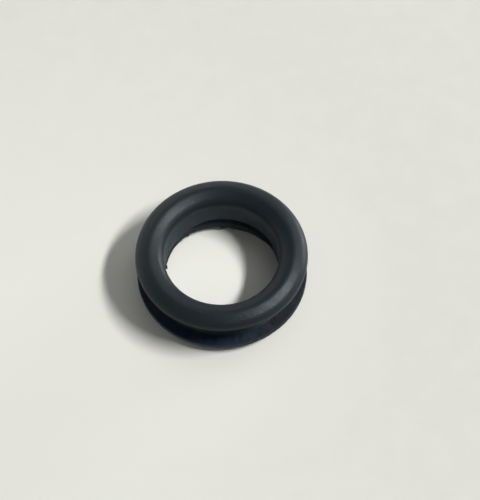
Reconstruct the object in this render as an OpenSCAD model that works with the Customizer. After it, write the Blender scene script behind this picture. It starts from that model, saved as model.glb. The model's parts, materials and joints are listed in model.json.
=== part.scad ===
// Rubber grommet that lines a round hole in a thin panel.
//
// It is one moulded piece: two flanges joined by a short sleeve. Each flange is
// domed on its outer face and flat on the side that grips the panel. The panel's
// edge sits in the groove between them, and the cable passes through the
// straight bore. A little torn flash is left at the bore's lower edge, where the
// mould's core was pulled out.
//
// The origin is in the middle of the face that the grommet rests on, and +Z
// runs up the axis of the bore. All sizes are in millimetres.

/* [Sleeve] */
// Diameter of the bore
bore_d = 12; // [9:0.1:13]
// Diameter at the bottom of the groove, about that of the panel's hole
groove_d = 15; // [13.4:0.1:16]
// Width of the groove between the flanges, which takes the panel
groove_w = 3; // [0.8:0.1:6]
// Radius in the two corners at the bottom of the groove
groove_corner_r = 0.25; // [0.1:0.05:0.35]

/* [Flanges] */
// Diameter of the upper flange
top_flange_d = 18; // [17.2:0.1:24]
// Diameter of the lower flange
bottom_flange_d = 17.9; // [17.2:0.1:24]
// Thickness of each flange at the top of its dome
flange_t = 1.5; // [1.4:0.05:1.7]
// Radius of the dome at a flange's rim and at its edge in the bore
rim_r = 0.85; // [0.7:0.05:0.9]
// Height of a flange's upright edge, from its flat side to the start of the dome
edge_h = 0.3; // [0.3:0.05:0.4]
// Radius of the corner between the upright edge and the flat side
edge_r = 0.25; // [0.1:0.05:0.25]

/* [Moulding flash] */
// Thickness of the skin of flash
flash_t = 0.12; // [0.06:0.02:0.3]
// Height of the flash above the resting face
flash_z = 0.3; // [0.1:0.05:0.6]

/* [Hidden] */
$fn = 180;

bore_r = bore_d / 2;
groove_r = groove_d / 2;
groove_top_z = flange_t + groove_w;
dome_h = flange_t - edge_h;

// Each scrap of flash that is left: where it starts and ends round the bore, in
// degrees from +X, and how far its torn edge stands in from the bore's wall
FLASH_SCRAPS = [
    [76, 79, -0.05], [80, 85, 0.1], [86, 91, 0.2], [92, 99, 0], [100, 106, -0.08],
    [107, 113, -0.14], [114, 121, -0.2], [124, 128, -0.12], [168, 172, 0.12]
];

// Half of the width of a flange of diameter d, from its rim to the bore
function half_width(d) = (d / 2 - bore_r) / 2;

// Radius of the crown that runs smoothly from a flange's rim to its inner edge
function crown_r(d) =
    let (reach = half_width(d) - rim_r)
    (reach * reach + dome_h * dome_h - rim_r * rim_r) / (2 * (dome_h - rim_r));

// Domed part of a flange's section, drawn with its lowest line on the X axis
module dome_section(d) {
    middle_r = bore_r + half_width(d);
    reach = half_width(d) - rim_r;
    crown = crown_r(d);
    crown_z = dome_h - crown;
    spread = reach * (crown + rim_r) / -crown_z;
    intersection() {
        translate([bore_r, 0])
            square([2 * half_width(d), dome_h]);
        union() {
            // rim and inner edge
            for (side = [-1, 1])
                translate([middle_r + side * reach, 0])
                    circle(rim_r);
            // crown, kept to the stretch between the points where it meets the rims
            intersection() {
                translate([middle_r, crown_z])
                    circle(crown);
                polygon([
                    [middle_r, crown_z],
                    [middle_r + spread, dome_h + rim_r],
                    [middle_r - spread, dome_h + rim_r]
                ]);
            }
        }
    }
}

// Upright edge of a flange and the disc behind it, with the flat side on the X axis
module edge_section(d) {
    translate([bore_r, 0])
        square([d / 2 - edge_r - bore_r, edge_h]);
    translate([bore_r, edge_r])
        square([d / 2 - bore_r, edge_h - edge_r]);
    translate([d / 2 - edge_r, edge_r])
        circle(edge_r);
}

// Half of a flange's section, drawn with its flat side on the X axis
module flange_section(d) {
    edge_section(d);
    translate([0, edge_h])
        dome_section(d);
}

// Rounded corner at the bottom of the groove, for a corner at the origin
module corner_section() {
    difference() {
        square(groove_corner_r);
        translate([groove_corner_r, groove_corner_r])
            circle(groove_corner_r);
    }
}

// Section of the sleeve between the flanges
module sleeve_section() {
    translate([bore_r, flange_t])
        square([groove_r - bore_r, groove_w]);
    translate([groove_r, flange_t])
        corner_section();
    translate([groove_r, groove_top_z])
        mirror([0, 1])
            corner_section();
}

// Flanges and sleeve, turned about the bore's axis
module body() {
    rotate_extrude() {
        translate([0, groove_top_z])
            flange_section(top_flange_d);
        sleeve_section();
        translate([0, flange_t])
            mirror([0, 1])
                flange_section(bottom_flange_d);
    }
}

// Scraps of flash, thin skins rooted in the lower flange's inner edge
module flash() {
    for (scrap = FLASH_SCRAPS)
        rotate([0, 0, scrap[0]])
            rotate_extrude(angle = scrap[1] - scrap[0])
                translate([bore_r - scrap[2], flash_z])
                    square([rim_r + scrap[2], flash_t]);
}

module grommet() {
    color([0.13, 0.14, 0.15]) {
        body();
        flash();
    }
}

grommet();
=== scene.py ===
# %% [markdown]
# # A rubber grommet
# A grommet lines a round hole in a thin panel, so that the panel's edge can't cut
# the cable that passes through. This one is moulded from black rubber in one go.
# Two domed flanges hold it in the hole, and the panel's edge sits in the groove
# between them. The imported CAD model is loaded first and kept as a fixed frame: it
# gives the main sizes below, and the finished piece is made to fit inside its box.

# %% Load the frame
import json
import math
import random

import bmesh
import bpy
from mathutils import Matrix, Vector


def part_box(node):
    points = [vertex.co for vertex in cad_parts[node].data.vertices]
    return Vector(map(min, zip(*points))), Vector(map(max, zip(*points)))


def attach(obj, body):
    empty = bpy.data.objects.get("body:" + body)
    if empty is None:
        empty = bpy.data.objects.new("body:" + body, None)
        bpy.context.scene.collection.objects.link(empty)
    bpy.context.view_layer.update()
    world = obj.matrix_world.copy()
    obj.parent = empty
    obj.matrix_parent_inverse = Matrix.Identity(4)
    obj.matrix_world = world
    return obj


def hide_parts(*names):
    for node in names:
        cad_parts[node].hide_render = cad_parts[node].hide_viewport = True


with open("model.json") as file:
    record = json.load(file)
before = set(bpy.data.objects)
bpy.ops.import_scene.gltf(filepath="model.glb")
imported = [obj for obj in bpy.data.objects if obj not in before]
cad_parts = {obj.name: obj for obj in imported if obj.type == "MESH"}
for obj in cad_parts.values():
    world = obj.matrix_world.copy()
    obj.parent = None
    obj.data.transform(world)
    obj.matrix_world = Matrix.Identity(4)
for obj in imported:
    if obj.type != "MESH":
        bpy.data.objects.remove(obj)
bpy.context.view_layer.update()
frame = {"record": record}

# %% [markdown]
# ## Sizes
# The record's two mounts say how wide the bore and the groove are, and the box
# says how far the flanges reach. These could be written out again by hand, but read
# from the frame they can't drift away from the CAD model. Only the small radii, and
# the step by which the lower flange is smaller, are named here. Blender works in
# metres, so `MM` turns millimetres into metres wherever a size is written out.

# %% Sizes from the frame
MM = 0.001
JOIN = 0.001 * MM        # points that are closer than this become one

LOW_FLANGE_STEP = 0.05 * MM
EDGE_R = 0.25 * MM
LOW_EDGE_R = 0.12 * MM
GROOVE_CORNER_R = 0.25 * MM

low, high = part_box("grommet")
mounts = {mount["name"]: mount["dims"] for mount in frame["record"]["mounts"]}

HEIGHT = high[2] - low[2]
TOP_R = min(high[0], high[1], -low[0], -low[1])
BOTTOM_R = TOP_R - LOW_FLANGE_STEP
BORE_R = mounts["bore"]["r_mm"] * MM
WALL_LENGTH = mounts["bore"]["length_mm"] * MM
GROOVE_R = mounts["panel_groove"]["r_mm"] * MM
GROOVE_W = mounts["panel_groove"]["length_mm"] * MM

FLANGE_T = (HEIGHT - GROOVE_W) / 2
DOME_H = (HEIGHT - WALL_LENGTH) / 2

print("outer radius", round(TOP_R / MM, 3), "mm, height", round(HEIGHT / MM, 3), "mm")
print("flange thickness", round(FLANGE_T / MM, 3), "mm, dome", round(DOME_H / MM, 3), "mm high")

# %% [markdown]
# ## The camera
# The grommet is small, so it is looked at from 225 mm away through a long lens,
# from about 60 degrees above the bench. A lens aimed by eye would do, or a Track To
# constraint. Here a helper works out the camera's matrix from a few angles, so the
# view can be set exactly and stays put. The camera points at a spot on the bench a
# little to the right of the bore's axis and behind it, so the ring sits left of the
# middle of the frame and a little below it.

# %% Camera
CAMERA_DISTANCE = 0.225
CAMERA_HEIGHT_DEG = 59.61
CAMERA_ROLL_DEG = -1.2485
LOOKED_AT = Vector((1.9402, 3.3914, 0)) * MM
SENSOR_HEIGHT = 24
LENS = 101.0746
NEAREST = 0.005
FARTHEST = 20

def aim(camera, target, distance, height_deg, roll_deg):
    """Put the camera in front of the target, looking down at it, and roll it."""
    height = math.radians(height_deg)
    backward = Vector((0, -math.cos(height), math.sin(height)))
    across = Vector((1, 0, 0))
    turn = Matrix.Rotation(math.radians(roll_deg), 3, backward)
    across = turn @ across
    upward = backward.cross(across)
    rows = Matrix((across, upward, backward)).transposed()
    camera.matrix_world = Matrix.Translation(target + backward * distance) @ rows.to_4x4()

lens = bpy.data.cameras.new("camera")
lens.sensor_fit = "VERTICAL"
lens.sensor_height = SENSOR_HEIGHT
lens.lens = LENS
lens.clip_start = NEAREST
lens.clip_end = FARTHEST
camera = bpy.data.objects.new("camera", lens)
bpy.context.scene.collection.objects.link(camera)
aim(camera, LOOKED_AT, CAMERA_DISTANCE, CAMERA_HEIGHT_DEG, CAMERA_ROLL_DEG)
bpy.context.scene.camera = camera
print("camera at", [round(v, 4) for v in camera.matrix_world.translation])

# %% [markdown]
# ## Drawing the section
# The grommet is round, so one section, turned about the bore's axis, makes the
# whole of it. A turned shape could come from a curve or the Screw modifier. Here
# the outline is drawn with the same moves that draw it on paper: an arc spins the
# last vertex round a centre, and a straight run extrudes it. The arcs then meet
# the straights exactly where the drawing says, and the rubber's soft edges are
# true radii.

# %% Helpers that draw an outline
ARC_STEP_DEG = 4

def arc(mesh, start, centre, turn_deg):
    """Spin a vertex round a centre in the XZ plane, anticlockwise if turn_deg is positive."""
    steps = max(2, math.ceil(abs(turn_deg) / ARC_STEP_DEG))
    drawn = bmesh.ops.spin(
        mesh, geom=[start], cent=(centre[0], 0, centre[1]), axis=(0, -1, 0), dvec=(0, 0, 0),
        angle=math.radians(turn_deg), steps=steps, use_merge=False)
    return drawn["geom_last"][0]

def straight(mesh, start, end, pieces=1):
    """Extrude a vertex to the point end, given as (distance from the axis, height)."""
    step = (Vector((end[0], 0, end[1])) - start.co) / pieces
    for _ in range(pieces):
        start = bmesh.ops.extrude_vert_indiv(mesh, verts=[start])["verts"][0]
        bmesh.ops.translate(mesh, verts=[start], vec=step)
    return start

print("an arc has a point at least every", ARC_STEP_DEG, "degrees")

# %% [markdown]
# ## One flange's dome
# On its outer side each flange is domed. One plain arc over the whole dome would be
# simpler, but it mirrors a lamp as one even band. Half a dome has four arcs here: a
# small crown, a long flank that is almost flat, a shoulder and the rim. The flanks are
# what makes the two soft bands of light either side of the crown. Each arc starts at
# the lean at which the last one ended, so they run into each other without a corner.
# The crown and the shoulder are given. The flank and the rim then have to make up the
# rest of the width and the rest of the height, which gives their radii.

# %% The arcs of a dome
# how far the surface leans from level where the arcs start and end, crown to rim
LEANS_DEG = (0, 20, 28, 50, 90)
CROWN_R = 0.9 * MM
SHOULDER_R = 1.5 * MM

def dome_radii(half_width):
    """Radii of the crown, flank, shoulder and rim of a dome that is this wide."""
    leans = [math.radians(lean) for lean in LEANS_DEG]
    wide = [math.sin(end) - math.sin(start) for start, end in zip(leans, leans[1:])]
    tall = [math.cos(start) - math.cos(end) for start, end in zip(leans, leans[1:])]
    width_left = half_width - CROWN_R * wide[0] - SHOULDER_R * wide[2]
    height_left = DOME_H - CROWN_R * tall[0] - SHOULDER_R * tall[2]
    scale = wide[1] * tall[3] - wide[3] * tall[1]
    flank_r = (width_left * tall[3] - wide[3] * height_left) / scale
    rim_r = (wide[1] * height_left - width_left * tall[1]) / scale
    return CROWN_R, flank_r, SHOULDER_R, rim_r

def dome(mesh, start, flange_r, base, side):
    """Draw a whole dome, on from the vertex where it starts.

    base is the height where the rim's arc has its centre. side is +1 for the upper
    dome, drawn from the rim to the bore, and -1 for the lower one, drawn from the bore
    to the rim."""
    half_width = (flange_r - BORE_R) / 2
    middle = BORE_R + half_width
    radii = dome_radii(half_width)
    arcs = []
    centre_x, centre_z, last_r = 0, DOME_H, 0
    for radius, lean, end in zip(radii, LEANS_DEG, LEANS_DEG[1:]):
        centre_x -= (radius - last_r) * math.sin(math.radians(lean))
        centre_z -= (radius - last_r) * math.cos(math.radians(lean))
        last_r = radius
        arcs.append((centre_x, centre_z, end - lean))
    mirrored = [(-centre_x, centre_z, turn) for centre_x, centre_z, turn in arcs]
    for centre_x, centre_z, turn in arcs[::-1] + mirrored:
        start = arc(mesh, start, (middle + side * centre_x, base + side * centre_z), turn)
    return start

print("radii of the upper dome in mm:",
      [round(radius / MM, 2) for radius in dome_radii((TOP_R - BORE_R) / 2)])

# %% [markdown]
# ## The whole outline
# The outline starts at the bottom of the bore's straight wall and runs
# anticlockwise: under the lower dome, up its rim, in along the flat side, round
# the groove, out along the other flat side, over the upper dome and back down the
# bore. The flat sides are what hold the panel. A Bevel modifier could round the edges
# later, but arcs in the outline keep each radius where the drawing has it. The long
# straight runs are cut into pieces, so that no face of the ring is a thin sliver.

# %% Draw the section
FLAT_PIECES = 10
GROOVE_PIECES = 12
WALL_PIECES = 24

def section(mesh):
    """Draw the closed outline of the grommet's section in the XZ plane."""
    wall_low = DOME_H
    wall_high = HEIGHT - DOME_H
    flat_low = FLANGE_T
    flat_high = HEIGHT - FLANGE_T
    corner = GROOVE_CORNER_R
    first = mesh.verts.new((BORE_R, 0, wall_low))
    at = dome(mesh, first, BOTTOM_R, wall_low, -1)
    at = straight(mesh, at, (BOTTOM_R, flat_low - LOW_EDGE_R))
    at = arc(mesh, at, (BOTTOM_R - LOW_EDGE_R, flat_low - LOW_EDGE_R), 90)
    at = straight(mesh, at, (GROOVE_R + corner, flat_low), FLAT_PIECES)
    at = arc(mesh, at, (GROOVE_R + corner, flat_low + corner), -90)
    at = straight(mesh, at, (GROOVE_R, flat_high - corner), GROOVE_PIECES)
    at = arc(mesh, at, (GROOVE_R + corner, flat_high - corner), -90)
    at = straight(mesh, at, (TOP_R - EDGE_R, flat_high), FLAT_PIECES)
    at = arc(mesh, at, (TOP_R - EDGE_R, flat_high + EDGE_R), 90)
    at = straight(mesh, at, (TOP_R, wall_high))
    at = dome(mesh, at, TOP_R, wall_high, 1)
    straight(mesh, at, (BORE_R, wall_low), WALL_PIECES)
    bmesh.ops.remove_doubles(mesh, verts=mesh.verts[:], dist=JOIN)

outline = bmesh.new()
section(outline)
print("the outline has", len(outline.verts), "points and", len(outline.edges), "edges")

# %% [markdown]
# ## Turning the ring
# The real ring is round because its mould was turned on a lathe, and spinning the
# section does the same. The Screw modifier would also do it. The operator is used
# because a full turn with `use_merge` closes the ring on itself, with no seam. Spin
# can leave the faces pointing inwards, so their normals are worked out again at the
# end.

# %% Turn the section into the ring
TURN_STEPS = 300

def turn_full(mesh, steps=TURN_STEPS):
    """Turn everything in the mesh once round the Z axis and close it."""
    bmesh.ops.spin(
        mesh, geom=mesh.verts[:] + mesh.edges[:], cent=(0, 0, 0), axis=(0, 0, 1),
        dvec=(0, 0, 0), angle=math.tau, steps=steps, use_merge=True)
    bmesh.ops.remove_doubles(mesh, verts=mesh.verts[:], dist=JOIN)
    bmesh.ops.recalc_face_normals(mesh, faces=mesh.faces[:])

def to_piece(mesh, name):
    """Make a bmesh into an object whose place is in its mesh, shaded smooth."""
    open_edges = [edge for edge in mesh.edges if not edge.is_manifold]
    print(name, "has", len(mesh.faces), "faces,", len(open_edges), "open edges,",
          round(mesh.calc_volume() / MM ** 3, 1), "mm3")
    data = bpy.data.meshes.new(name)
    mesh.to_mesh(data)
    mesh.free()
    data.shade_smooth()
    piece = bpy.data.objects.new(name, data)
    bpy.context.scene.collection.objects.link(piece)
    return piece

turn_full(outline)
ring = to_piece(outline, "grommet_ring")

# %% [markdown]
# ## The flash
# Where the two halves of the mould's core met, a skin of rubber thinner than paper
# ran out at the lower end of the bore. It was torn off by hand, so what is left is a
# ragged lip that leans a little into the bore and is nowhere the same. A texture with
# holes could fake it, but the lip's edge shows against the bench and throws a
# shadow, so it is a real shape here. The lip's thin section is turned once round with
# far more lean than is needed. Each point then keeps the part of the lean that the
# tear left, and goes to the height that it left. Where the lean is below zero, the
# lip stays inside the ring and doesn't show.

# %% How far the lip leans in and how low its torn edge hangs
LIP_TOP_Z = 2.15 * MM
LIP_FOLD_Z = 1.72 * MM
LIP_EDGE_Z = 1.10 * MM
LIP_T = 0.05 * MM
LIP_ROOT = 0.08 * MM
FULL_LEAN = 1.0 * MM

# places round the bore: degrees from +X, and then in millimetres how far the lip leans
# in from the wall and how high its edge, its fold and its top are above the bench
TORN_EDGE = [
    (0, -0.04, 1.60, 1.72, 2.15), (22, -0.04, 1.60, 1.72, 2.15),
    (32, 0.06, 1.20, 1.72, 2.15), (45, 0.12, 0.90, 1.72, 2.15),
    (60, 0.14, 0.72, 1.72, 2.15), (70, 0.15, 0.60, 1.72, 2.15),
    (79.5, 0.16, 0.52, 1.72, 2.15), (80.5, 0.16, 0.56, 1.72, 2.15),
    (85, 0.17, 0.64, 1.72, 2.15), (85.8, 0.17, 0.44, 1.72, 2.15),
    (90.6, 0.17, 0.42, 1.72, 2.15), (91.3, 0.16, 0.72, 1.72, 2.15),
    (95, 0.16, 0.86, 1.72, 2.15), (100, 0.15, 0.84, 1.72, 2.15),
    (105, 0.15, 0.96, 1.72, 2.15), (110, 0.14, 1.02, 1.66, 2.05),
    (120, 0.12, 1.04, 1.56, 1.85), (125.5, 0.10, 1.06, 1.50, 1.70),
    (126.3, 0.13, 0.92, 1.50, 1.68), (128.3, 0.13, 0.92, 1.48, 1.65),
    (129.3, 0.09, 1.06, 1.48, 1.60), (136, 0.07, 1.06, 1.44, 1.52),
    (150, 0.06, 1.08, 1.44, 1.52), (165, 0.05, 1.08, 1.44, 1.52),
    (170.9, 0.04, 1.10, 1.44, 1.52), (171.6, 0.17, 1.00, 1.44, 1.60),
    (173.6, 0.19, 0.98, 1.44, 1.60), (174.4, 0.04, 1.10, 1.44, 1.52),
    (182, -0.04, 1.20, 1.44, 1.52), (360, -0.04, 1.60, 1.72, 2.15),
]

def torn_edge(turn_deg):
    """Lean, edge, fold and top of the lip at an angle, read between the marked places."""
    for here, there in zip(TORN_EDGE, TORN_EDGE[1:]):
        if here[0] <= turn_deg <= there[0]:
            share = (turn_deg - here[0]) / (there[0] - here[0])
            return [(one + (other - one) * share) * MM
                    for one, other in zip(here[1:], there[1:])]

print("the lip leans in by up to", max(place[1] for place in TORN_EDGE), "mm")

# %% Turn the lip and tear it
LIP_STEPS = 720
SEED = 11
COARSE_TEETH = 0.05 * MM
FINE_TEETH = 0.04 * MM
FACE_PIECES = 3
ROOT_PIECES = 2

def torn_lip():
    """Thin lip at the lower end of the bore, with a ragged lower edge.

    It is turned with its full lean, of which each vertex then keeps a part."""
    mesh = bmesh.new()
    root = BORE_R + LIP_ROOT
    tip = BORE_R - FULL_LEAN
    first = mesh.verts.new((root, 0, LIP_TOP_Z))
    at = straight(mesh, first, (BORE_R, LIP_TOP_Z))
    at = straight(mesh, at, (tip, LIP_FOLD_Z), FACE_PIECES)
    at = straight(mesh, at, (tip, LIP_EDGE_Z), FACE_PIECES)
    at = straight(mesh, at, (tip + LIP_T, LIP_EDGE_Z))
    at = straight(mesh, at, (root, LIP_FOLD_Z), ROOT_PIECES)
    straight(mesh, at, (root, LIP_TOP_Z), ROOT_PIECES)
    bmesh.ops.remove_doubles(mesh, verts=mesh.verts[:], dist=JOIN)
    turn_full(mesh, LIP_STEPS)
    rng = random.Random(SEED)
    teeth = [rng.uniform(-1, 1) for _ in range(LIP_STEPS)]
    for vert in mesh.verts:
        turn = math.degrees(math.atan2(vert.co.y, vert.co.x)) % 360
        lean, edge_z, fold_z, top_z = torn_edge(turn)
        step = round(turn / 360 * LIP_STEPS) % LIP_STEPS
        ragged = COARSE_TEETH * teeth[step // 2] + FINE_TEETH * teeth[step]
        radius = math.hypot(vert.co.x, vert.co.y)
        if radius < BORE_R:
            inward = (BORE_R - radius) * lean / FULL_LEAN
            vert.co.xy *= (BORE_R - inward) / radius
        low_share = (LIP_FOLD_Z - vert.co.z) / (LIP_FOLD_Z - LIP_EDGE_Z)
        high_share = (vert.co.z - LIP_FOLD_Z) / (LIP_TOP_Z - LIP_FOLD_Z)
        if low_share > 0:
            vert.co.z = fold_z - (fold_z - edge_z - ragged) * low_share
        else:
            vert.co.z = fold_z + (top_z - fold_z) * high_share
    bmesh.ops.recalc_face_normals(mesh, faces=mesh.faces[:])
    return mesh

lip = to_piece(torn_lip(), "torn_lip")

# %% [markdown]
# ## Tools for the materials
# Each material here is a graph of nodes that reads where a point is on the piece. The
# links could be written out one by one, but then they hide what the graph does. A few
# helpers say it in words instead: blend two colours, multiply values, or turn a
# height into a zone that fades in. They leave plain nodes behind, so the graph can
# still be read and changed in the shader editor.

# %% Helpers that add nodes
# which of a Mix node's sockets are its two inputs and its result, for each kind
MIX_SOCKETS = {"FLOAT": (2, 3, 0), "RGBA": (6, 7, 2)}

def new_node(tree, kind, **settings):
    """Add a node and set its plain settings and its inputs by name."""
    node = tree.nodes.new(kind)
    for name, value in settings.items():
        if name in node.inputs:
            node.inputs[name].default_value = value
        else:
            setattr(node, name, value)
    return node

def plug(tree, value, socket):
    """Give a socket a number or a colour, or link it to another node's output."""
    if isinstance(value, (int, float, tuple)):
        socket.default_value = value
    else:
        tree.links.new(value, socket)

def blend(tree, factor, low_value, high_value, kind="RGBA"):
    """Map a factor from 0 to 1 onto two colours, or onto two numbers."""
    mix = new_node(tree, "ShaderNodeMix", data_type=kind, clamp_factor=True)
    low_socket, high_socket, result = MIX_SOCKETS[kind]
    for index, value in ((0, factor), (low_socket, low_value), (high_socket, high_value)):
        plug(tree, value, mix.inputs[index])
    return mix.outputs[result]

def span(tree, value, start, end, low_value=0, high_value=1):
    """Map start to the low value and end to the high one, with the ends held."""
    node = new_node(tree, "ShaderNodeMapRange")
    for socket, number in zip(node.inputs, (value, start, end, low_value, high_value)):
        plug(tree, number, socket)
    return node.outputs[0]

def combine(tree, operation, *values):
    """Multiply all the values, or add them all up."""
    result = values[0]
    for value in values[1:]:
        node = new_node(tree, "ShaderNodeMath", operation=operation)
        plug(tree, result, node.inputs[0])
        plug(tree, value, node.inputs[1])
        result = node.outputs[0]
    return result

def vector_maths(tree, operation, *vectors, **settings):
    """Work on vectors. A length or a distance is a number, and all else a vector."""
    node = new_node(tree, "ShaderNodeVectorMath", operation=operation, **settings)
    for vector, socket in zip(vectors, node.inputs):
        plug(tree, vector, socket)
    return node.outputs["Value" if operation in ("LENGTH", "DISTANCE") else "Vector"]

def noise(tree, vector, scale, detail, roughness):
    """Cloudy noise, whose scale is in lumps per millimetre."""
    node = new_node(tree, "ShaderNodeTexNoise", Scale=scale, Detail=detail, Roughness=roughness)
    tree.links.new(vector, node.inputs["Vector"])
    return node.outputs[0]

def new_material(name):
    """Start a material. Returns it with its tree, its shader and the place in mm."""
    material = bpy.data.materials.new(name)
    material.use_nodes = True
    tree = material.node_tree
    place = new_node(tree, "ShaderNodeTexCoord")
    in_mm = vector_maths(tree, "SCALE", place.outputs["Object"], Scale=1 / MM)
    return material, tree, tree.nodes["Principled BSDF"], in_mm

def split(tree, vector):
    """The X, Y and Z of a vector."""
    node = new_node(tree, "ShaderNodeSeparateXYZ")
    tree.links.new(vector, node.inputs[0])
    return node.outputs

print("a material reads places in millimetres, so it scales them by", round(1 / MM))

# %% [markdown]
# ## The rubber
# Moulded rubber filled with carbon black sends back hardly any light of its own, and
# what little there is looks blue. What shows its shape is the soft shine of the
# surface. The colour isn't the same everywhere. In the groove and in the bore, where
# shade falls, it is painted bluer and a little lighter as painted blue shade, except on
# the lit right of the groove. The left of the ring is painted a lighter grey, as painted
# sheen where its bright band spreads, and the upper flange's lower edge is painted near
# black except on the right, as painted shade. The flat side of the lower flange has
# fine marks that run outwards. These could be painted on by hand with a texture. Here
# each is a zone in the piece's own coordinates, so it stays sharp at any size and goes
# where the piece goes.

# %% Where a point of the rubber is
rubber, tree, shader, in_mm = new_material("rubber")
across, _, height = split(tree, in_mm)
level = vector_maths(tree, "MULTIPLY", in_mm, (1, 1, 0))
from_axis = vector_maths(tree, "LENGTH", level)

# zones in millimetres: where each begins to show, and where it is full
BORE_RADII = (6.35, 6.08)
WALL_HEIGHTS = (4.9, 4.5)
OUTER_RADII = (6.9, 7.4)
GROOVE_HEIGHTS = (4.6, 4.4)
LOW_FLANGE_HEIGHTS = (1.9, 1.5)
FLAT_RADII = (8.9, 8.7)
FLAT_HEIGHTS = (1.35, 1.45)
EDGE_RADII = (8.7, 8.95)
EDGE_HEIGHTS_ABOVE = (5.0, 4.85)
EDGE_HEIGHTS_BELOW = (4.3, 4.4)
EDGE_LEFT = (5, 1)

in_bore = span(tree, from_axis, *BORE_RADII)
on_wall = combine(tree, "MULTIPLY", in_bore, span(tree, height, *WALL_HEIGHTS))
outside = span(tree, from_axis, *OUTER_RADII)
in_groove = combine(tree, "MULTIPLY", outside, span(tree, height, *GROOVE_HEIGHTS))
on_low_flange = combine(tree, "MULTIPLY", outside, span(tree, height, *LOW_FLANGE_HEIGHTS))
on_flat = combine(tree, "MULTIPLY", on_low_flange, span(tree, from_axis, *FLAT_RADII),
                  span(tree, height, *FLAT_HEIGHTS))
at_top_edge = combine(tree, "MULTIPLY", span(tree, from_axis, *EDGE_RADII),
                      span(tree, height, *EDGE_HEIGHTS_ABOVE),
                      span(tree, height, *EDGE_HEIGHTS_BELOW),
                      span(tree, across, *EDGE_LEFT))
print("the zones of the rubber take", len(tree.nodes), "nodes")

# %% Marks on the lower flange's flat side
MARKS_AROUND = 24.0
MARKS_OUTWARDS = 0.8
MARKS_NOISE = (1.0, 2.0, 0.6)
MARKS_RANGE = (0.35, 0.65)
NO_MARKS = 0.5

# the noise is read on a wide circle, so the marks are narrow and meet without a seam
around = vector_maths(tree, "SCALE", vector_maths(tree, "NORMALIZE", level), Scale=MARKS_AROUND)
outwards = new_node(tree, "ShaderNodeCombineXYZ")
tree.links.new(combine(tree, "MULTIPLY", from_axis, MARKS_OUTWARDS), outwards.inputs[2])
marks = noise(tree, vector_maths(tree, "ADD", around, outwards.outputs[0]), *MARKS_NOISE)
marked = blend(tree, on_flat, NO_MARKS, span(tree, marks, *MARKS_RANGE), kind="FLOAT")
print("the marks are about", round(BOTTOM_R / MM / MARKS_AROUND, 2), "mm wide at the rim")

# %% Colour of the rubber
GREEN_BLACK = (0.0075, 0.0135, 0.0165, 1)
BLUE_BLACK = (0.0090, 0.0128, 0.0170, 1)
# painted sheen: the left of the ring is painted lighter grey, where its bright band spreads
SHEEN_GREY = (0.0150, 0.0200, 0.0220, 1)
WORN_DARK = (0.005, 0.008, 0.012, 1)
WORN_LIGHT = (0.018, 0.022, 0.028, 1)
# painted blue shade: the shaded groove and bore are painted bluer and a little lighter
SHADE_BLUE_THIN = (0.004, 0.013, 0.026, 1)
SHADE_BLUE_THICK = (0.011, 0.027, 0.045, 1)
SHADE_BLUE_BORE = (0.006, 0.018, 0.030, 1)
# painted shade: the upper flange's lower edge is painted near black, except on the right
EDGE_PAINTED_SHADE = (0.002, 0.004, 0.006, 1)
CLOUD_NOISE = (0.22, 2.0, 0.5)
CLOUD_RANGE = (0.4, 0.6)
SHADE_BLUE_LEFT = (5, -1)
SHEEN_LEFT = (-1, -7)
SHEEN_RADII = (8.6, 7.6)
SHEEN_AT_RIM = 0.3

cloud = span(tree, noise(tree, in_mm, *CLOUD_NOISE), *CLOUD_RANGE)
clean = blend(tree, cloud, GREEN_BLACK, BLUE_BLACK)
# in the groove and over the lower flange: painted blue shade on the left, the lower flange's
# marks on the right
marks_and_shade_blue = blend(tree, span(tree, across, *SHADE_BLUE_LEFT),
              blend(tree, marked, WORN_DARK, WORN_LIGHT),
              blend(tree, marked, SHADE_BLUE_THIN, SHADE_BLUE_THICK))
# painted sheen on the left of the ring, full from the crown inwards and weaker at the rim
painted_sheen_side = combine(tree, "MULTIPLY", span(tree, across, *SHEEN_LEFT),
                       span(tree, from_axis, *SHEEN_RADII, SHEEN_AT_RIM))
colour = blend(tree, painted_sheen_side, clean, SHEEN_GREY)
# painted blue shade in the groove and the bore, and painted shade at the upper flange's lower
# edge
for zone, tint in ((in_groove, marks_and_shade_blue), (on_wall, SHADE_BLUE_BORE), (at_top_edge, EDGE_PAINTED_SHADE)):
    colour = blend(tree, zone, colour, tint)
tree.links.new(colour, shader.inputs["Base Color"])
print("the rubber sends back about", round(100 * GREEN_BLACK[1], 1), "% of the light")

# %% [markdown]
# ## Its shine and its grain
# A new rubber part is a little glossy, and the mould gives it a fine grain. The shine
# varies in patches from handling, and one place is rubbed a little smoother. The bore,
# the lower flange with its marks, and one side of the upper flange's lower edge are
# duller. The grain could be cut into the mesh, but a bump node is enough, as it is far
# too shallow to change the outline.

# %% Shine and grain of the rubber
PATCH_NOISE = (1.1, 3.0, 0.6)
PATCH_RANGE = (0.3, 0.7)
ROUGHNESS = (0.39, 0.47)
BORE_DULL = 0.14
LOW_DULL = 0.08
EDGE_DULL = 0.5
MARK_DULL = 0.30
POLISH = -0.035
POLISHED_PLACE = (6.4, -4.0, 5.9)
POLISHED_REACH = (3.2, 0.8)
GRAIN_NOISE = (4.2, 3.0, 0.65)
GRAIN_DEPTH = 0.033 * MM
SHINE = 0.27
SHINE_TINT = (0.93, 1.0, 1.06, 1)

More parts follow.
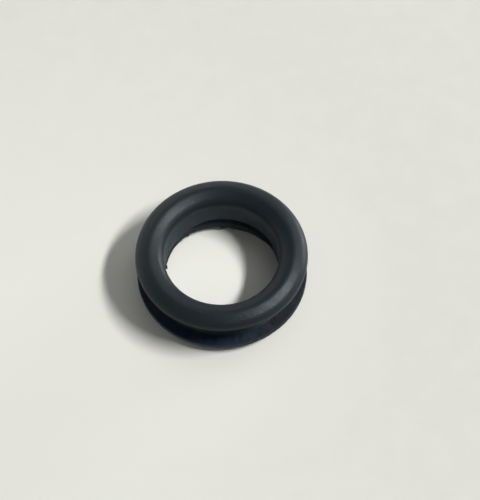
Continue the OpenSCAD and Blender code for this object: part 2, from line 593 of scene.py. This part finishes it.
to_polished = vector_maths(tree, "DISTANCE", in_mm, POLISHED_PLACE)
rough = combine(
    tree, "ADD",
    span(tree, noise(tree, in_mm, *PATCH_NOISE), *PATCH_RANGE, *ROUGHNESS),
    combine(tree, "MULTIPLY", in_bore, BORE_DULL),
    combine(tree, "MULTIPLY", on_low_flange, LOW_DULL),
    combine(tree, "MULTIPLY", at_top_edge, EDGE_DULL),
    combine(tree, "MULTIPLY", span(tree, to_polished, *POLISHED_REACH), POLISH),
    combine(tree, "MULTIPLY", on_low_flange, marked, MARK_DULL))
tree.links.new(rough, shader.inputs["Roughness"])

grain = new_node(tree, "ShaderNodeBump", Strength=1.0, Distance=GRAIN_DEPTH)
tree.links.new(noise(tree, in_mm, *GRAIN_NOISE), grain.inputs["Height"])
tree.links.new(grain.outputs[0], shader.inputs["Normal"])

shader.inputs["Specular IOR Level"].default_value = SHINE
shader.inputs["Specular Tint"].default_value = SHINE_TINT
ring.data.materials.append(rubber)
print("the rubber has", len(tree.nodes), "nodes in all")

# %% [markdown]
# ## The torn rubber
# A torn face is nothing like a moulded one. It is rough and matte and speckled with
# small shreds. Along the root, where the lip leaves the wall, it is painted near black,
# as painted shade in the crease. The ring's material could be given one more zone for
# it, but the lip is a piece of its own, so a small material of its own is easier to read.

# %% Material of the torn lip
TORN_DARK = (0.013, 0.018, 0.024, 1)
TORN_GREY = (0.034, 0.044, 0.054, 1)
# painted shade: the lip is painted near black along its root, in the crease at the wall
ROOT_PAINTED_SHADE = (0.004, 0.006, 0.010, 1)
SHRED_NOISE = (5.0, 3.0, 0.7)
SHRED_RANGE = (0.4, 0.62)
ROOT_HEIGHTS = (1.4, 1.8)
ROOT_SLOPE = 0.06        # the root lies lower on the left, by this much per millimetre
TORN_ROUGHNESS = 0.75
TORN_SHINE = 0.1

torn, tree, shader, in_mm = new_material("torn_rubber")
across, _, height = split(tree, in_mm)
shreds = span(tree, noise(tree, in_mm, *SHRED_NOISE), *SHRED_RANGE)
root_height = combine(tree, "ADD", combine(tree, "MULTIPLY", across, ROOT_SLOPE), height)
speckled = blend(tree, shreds, TORN_DARK, TORN_GREY)
# painted shade along the root, above the speckled torn face
torn_colour = blend(tree, span(tree, root_height, *ROOT_HEIGHTS), speckled, ROOT_PAINTED_SHADE)
tree.links.new(torn_colour, shader.inputs["Base Color"])
shader.inputs["Roughness"].default_value = TORN_ROUGHNESS
shader.inputs["Specular IOR Level"].default_value = TORN_SHINE
lip.data.materials.append(torn)
print("the torn rubber has", len(tree.nodes), "nodes")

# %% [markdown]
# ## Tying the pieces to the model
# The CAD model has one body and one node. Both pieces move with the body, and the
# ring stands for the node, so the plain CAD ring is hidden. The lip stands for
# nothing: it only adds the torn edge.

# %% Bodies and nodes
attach(ring, "root")
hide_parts("grommet")
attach(lip, "root")
print("pieces:", ring.name, "and", lip.name)

# %% [markdown]
# ## The bench
# The grommet lies on a plain pale surface, like a sheet of card. A white plane with
# strong lamps would wash the shadow out, so the paleness is in the card's own colour.
# Real card is never quite even, and a faint mottle breaks it up. The card is also
# painted paler on the left, as a painted pool of light, and round the ring and most of
# all under it, as painted light that lifts the shade the ring leaves on the bench. A
# large circle reaches past the view on all sides.

# %% Floor
FLOOR_R = 6.0
FLOOR_SIDES = 96
CARD_DARK = (0.679, 0.679, 0.625, 1)
CARD_PALE = (0.703, 0.703, 0.647, 1)
MOTTLE_NOISE = (0.35, 4.0, 0.6)
MOTTLE_RANGE = (0.3, 0.7)
CARD_ROUGHNESS = 0.9
CARD_SHINE = 0.1

# the middle of each zone of painted light, how far from it the zone begins and is
# full, all in millimetres, and its colour
PAINTED_LIGHT_ZONES = [
    ((-20.0, -7.0, 0), 45.0, 6.0, (0.762, 0.762, 0.702, 1)),
    ((0.0, -3.0, 0), 19.5, 7.5, (0.775, 0.775, 0.715, 1)),
    ((0.0, 0.0, 0), 8.0, 6.0, (0.92, 0.92, 0.85, 1)),
]

floor_mesh = bmesh.new()
bmesh.ops.create_circle(floor_mesh, cap_ends=True, segments=FLOOR_SIDES, radius=FLOOR_R)
floor_data = bpy.data.meshes.new("floor")
floor_mesh.to_mesh(floor_data)
floor_mesh.free()
floor = bpy.data.objects.new("floor", floor_data)
bpy.context.scene.collection.objects.link(floor)

card, tree, shader, in_mm = new_material("bench")
mottle = span(tree, noise(tree, in_mm, *MOTTLE_NOISE), *MOTTLE_RANGE)
card_colour = blend(tree, mottle, CARD_DARK, CARD_PALE)
# painted light: the card is painted paler on the left, round the ring and under it
for middle, start, full, tint in PAINTED_LIGHT_ZONES:
    near = span(tree, vector_maths(tree, "DISTANCE", in_mm, middle), start, full)
    card_colour = blend(tree, near, card_colour, tint)
tree.links.new(card_colour, shader.inputs["Base Color"])
shader.inputs["Roughness"].default_value = CARD_ROUGHNESS
shader.inputs["Specular IOR Level"].default_value = CARD_SHINE
floor.data.materials.append(card)
print("the bench is", 2 * FLOOR_R, "m across")

# %% [markdown]
# ## The light
# Black rubber shows its shape only by what it mirrors, so the lamps are chosen for
# their reflections. One narrow strip, high on the right, draws the bright line over
# the right of the ring and throws the shadow to the left. A dim window, low on the
# right, lights the outer rim there, and weak broad lamps fill the rest. Point lamps
# would be simpler, but they mirror as hard spots. A lamp's brightness here is what its
# face looks like, so its power grows with its size.

# %% Softboxes
LAMP_DISTANCE = 2.5

# name, then height, turn, width, length and tilt in degrees, then brightness
SOFTBOXES = [
    ("strip_light", 53.3, -7, 22, 4.8, -4, 93),
    ("low_window", 6, 36, 30, 8, 0, 20),
    ("front_fill", 4, -20, 60, 8, 0, 1.5),
    ("back_fill", 16, 110, 60, 28, 0, 1.0),
    ("left_fill", 16, 155, 30, 28, 0, 1.05),
    ("left_front_fill", 16, 189, 45, 28, 0, 0.42),
    ("ceiling", 66, 60, 36, 36, 0, 0.82),
    ("near_ceiling", 45, 260, 50, 25, 0, 0.4),
]

def softbox(name, height_deg, turn_deg, wide_deg, tall_deg, tilt_deg, brightness):
    """A rectangular lamp that faces the grommet, sized by the angles it fills."""
    height = math.radians(height_deg)
    turn = math.radians(turn_deg)
    away = Vector((math.cos(height) * math.cos(turn), math.cos(height) * math.sin(turn),
                   math.sin(height)))
    level = Vector((-math.sin(turn), math.cos(turn), 0))
    across = Matrix.Rotation(math.radians(tilt_deg), 3, away) @ level
    upward = away.cross(across)
    lamp = bpy.data.lights.new(name, "AREA")
    lamp.shape = "RECTANGLE"
    lamp.size = 2 * LAMP_DISTANCE * math.tan(math.radians(wide_deg / 2))
    lamp.size_y = 2 * LAMP_DISTANCE * math.tan(math.radians(tall_deg / 2))
    lamp.energy = brightness * math.pi * lamp.size * lamp.size_y
    light = bpy.data.objects.new(name, lamp)
    bpy.context.scene.collection.objects.link(light)
    light.matrix_world = (Matrix.Translation(away * LAMP_DISTANCE)
                          @ Matrix((across, upward, away)).transposed().to_4x4())
    print(name, "is", round(lamp.size, 2), "by", round(lamp.size_y, 2), "m,",
          round(lamp.energy, 1), "W")

for box in SOFTBOXES:
    softbox(*box)

# %% [markdown]
# ## The room
# Round the bench there is a pale band at the height of the horizon, as from walls that
# the lamps light, and above it the room is dark. The band is what the steep outer
# sides of the rubber mirror. An image of a room could be used, but a colour ramp over
# the height is all that such a small part shows.

# %% Room light
# height, from 0 at the horizon to 1 overhead, and brightness
ROOM_BAND = [(0.0, 0.75), (0.06, 0.75), (0.16, 0.1), (0.3, 0.06), (1.0, 0.06)]

world = bpy.data.worlds.new("room")
bpy.context.scene.world = world
world.use_nodes = True
tree = world.node_tree
tree.nodes.clear()
where = new_node(tree, "ShaderNodeTexCoord")
ramp = new_node(tree, "ShaderNodeValToRGB")
back = new_node(tree, "ShaderNodeBackground", Strength=1.0)
out = new_node(tree, "ShaderNodeOutputWorld")
tree.links.new(split(tree, where.outputs["Generated"])["Z"], ramp.inputs[0])
tree.links.new(ramp.outputs[0], back.inputs["Color"])
tree.links.new(back.outputs[0], out.inputs["Surface"])
stops = ramp.color_ramp.elements
while len(stops) < len(ROOM_BAND):
    stops.new(0.5)
for stop, (position, brightness) in zip(stops, ROOM_BAND):
    stop.position = position
    stop.color = (brightness, brightness, brightness, 1)
print("the room's band is", ROOM_BAND[0][1], "bright and the rest", ROOM_BAND[-1][1])

# %% [markdown]
# ## The end
# The Standard view shows the colours as the lamps make them, without a film's look.

# %% View settings and the end
bpy.context.scene.view_settings.view_transform = "Standard"
